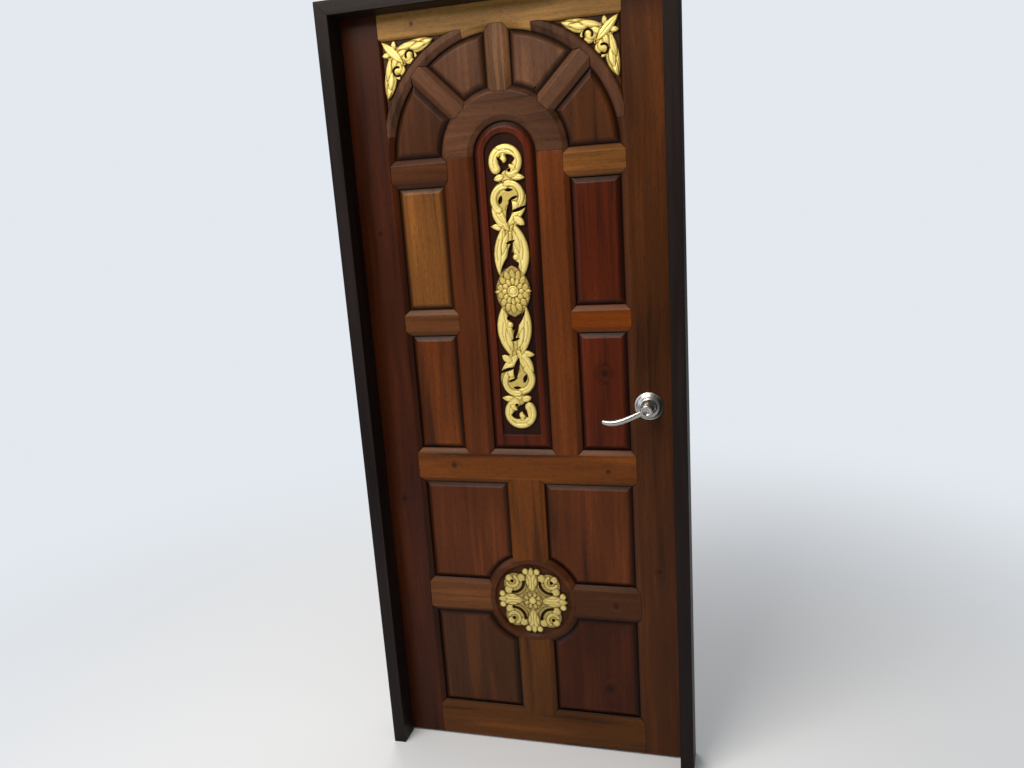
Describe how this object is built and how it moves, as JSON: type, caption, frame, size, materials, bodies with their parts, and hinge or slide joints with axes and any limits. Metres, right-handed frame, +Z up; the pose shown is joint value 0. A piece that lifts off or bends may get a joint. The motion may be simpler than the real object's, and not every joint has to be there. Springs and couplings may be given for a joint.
{
  "type": "carved temple door",
  "caption": "Hardwood frame-and-panel door leaf with an arched fan, raised panels and gilded scroll carvings, hung in a rebated frame with butt hinges and a lever latch.",
  "frame": {"origin": "on the floor, in the middle of the doorway's width and of the leaf's thickness", "axes": "+X from the hinge side to the lock side, +Y away from the carved face and into the room that the leaf opens to, +Z up"},
  "size_m": [0.867, 0.164, 2.036],
  "materials": {
    "dark_frame_wood": "near-black satin stain",
    "red_brown_wood": "satin varnish",
    "golden_brown_wood": "satin varnish",
    "gilding": "pale gold leaf on carved wood",
    "satin_chrome": "satin",
    "hinge_steel": "satin",
    "screw_steel": "satin",
    "strike_steel": "satin"
  },
  "bodies": {
    "frame": {"hinge_jamb": "dark_frame_wood", "lock_jamb": "dark_frame_wood", "frame_head": "dark_frame_wood", "strike_plate": "strike_steel", "frame_hinge_plates": "hinge_steel", "frame_screws": "screw_steel", "hinge_pins": "hinge_steel"},
    "leaf": {"arch_rib_left": "red_brown_wood", "arch_rib_right": "red_brown_wood", "arch_ring": "red_brown_wood", "arched_panel": "red_brown_wood", "back_rose": "satin_chrome", "bottom_rail": "golden_brown_wood", "corner_carving_left": "gilding", "corner_carving_right": "gilding", "fan_spoke_left": "red_brown_wood", "fan_spoke_middle": "red_brown_wood", "fan_spoke_right": "red_brown_wood", "front_rose": "satin_chrome", "high_lower_mullion": "golden_brown_wood", "high_lower_panel_left": "red_brown_wood", "high_lower_panel_right": "red_brown_wood", "hinge_stile": "red_brown_wood", "inner_fan_panel_left": "red_brown_wood", "inner_fan_panel_right": "red_brown_wood", "latch_case": "strike_steel", "leaf_hinge_plates": "hinge_steel", "leaf_screws": "screw_steel", "lock_rail": "golden_brown_wood", "lock_stile": "golden_brown_wood", "low_lower_mullion": "golden_brown_wood", "low_lower_panel_left": "red_brown_wood", "low_lower_panel_right": "red_brown_wood", "lower_cross_rail_left": "golden_brown_wood", "lower_cross_rail_right": "golden_brown_wood", "lower_side_panel_left": "red_brown_wood", "lower_side_panel_right": "red_brown_wood", "middle_cross_rail_left": "red_brown_wood", "middle_cross_rail_right": "red_brown_wood", "outer_fan_panel_left": "red_brown_wood", "outer_fan_panel_right": "red_brown_wood", "round_boss": "red_brown_wood", "round_carving": "gilding", "spandrel_panel_left": "red_brown_wood", "spandrel_panel_right": "red_brown_wood", "tall_carving": "gilding", "top_rail": "golden_brown_wood", "upper_cross_rail_left": "golden_brown_wood", "upper_cross_rail_right": "golden_brown_wood", "upper_mullion_left": "red_brown_wood", "upper_mullion_right": "golden_brown_wood", "upper_side_panel_left": "red_brown_wood", "upper_side_panel_right": "red_brown_wood"},
    "lever_set": {"lever_spindle": "strike_steel", "front_lever": "satin_chrome", "back_lever": "satin_chrome"},
    "latch_bolt": {"latch_bolt": "strike_steel"},
    "key_plug": {"key_plug": "satin_chrome"},
    "turn_button": {"turn_button": "satin_chrome"}
  },
  "joints": [
    {"name": "leaf_hinge", "type": "hinge", "parent": "frame", "child": "leaf", "pos_m": [-0.408, 0.0245, 0], "axis": [0, 0, 1], "range_deg": [0, 110]},
    {"name": "lever_turn", "type": "hinge", "parent": "leaf", "child": "lever_set", "pos_m": [0.3365, 0, 1.013], "axis": [0, -1, 0], "range_deg": [0, 45], "stiffness_Nm_per_rad": 1, "springref_deg": -34.38},
    {"name": "latch_slide", "type": "slide", "parent": "leaf", "child": "latch_bolt", "axis": [-1, 0, 0], "range_m": [0, 0.0115]},
    {"name": "key_turn", "type": "hinge", "parent": "lever_set", "child": "key_plug", "pos_m": [0.3365, -0.06, 1.013], "axis": [0, -1, 0], "range_deg": [0, 90]},
    {"name": "button_turn", "type": "hinge", "parent": "lever_set", "child": "turn_button", "pos_m": [0.3365, 0.06, 1.013], "axis": [0, 1, 0], "range_deg": [0, 90]}
  ],
  "couplings": [
    {"joint": "latch_slide", "follows": "lever_turn", "m_per_rad": 0.01464}
  ]
}
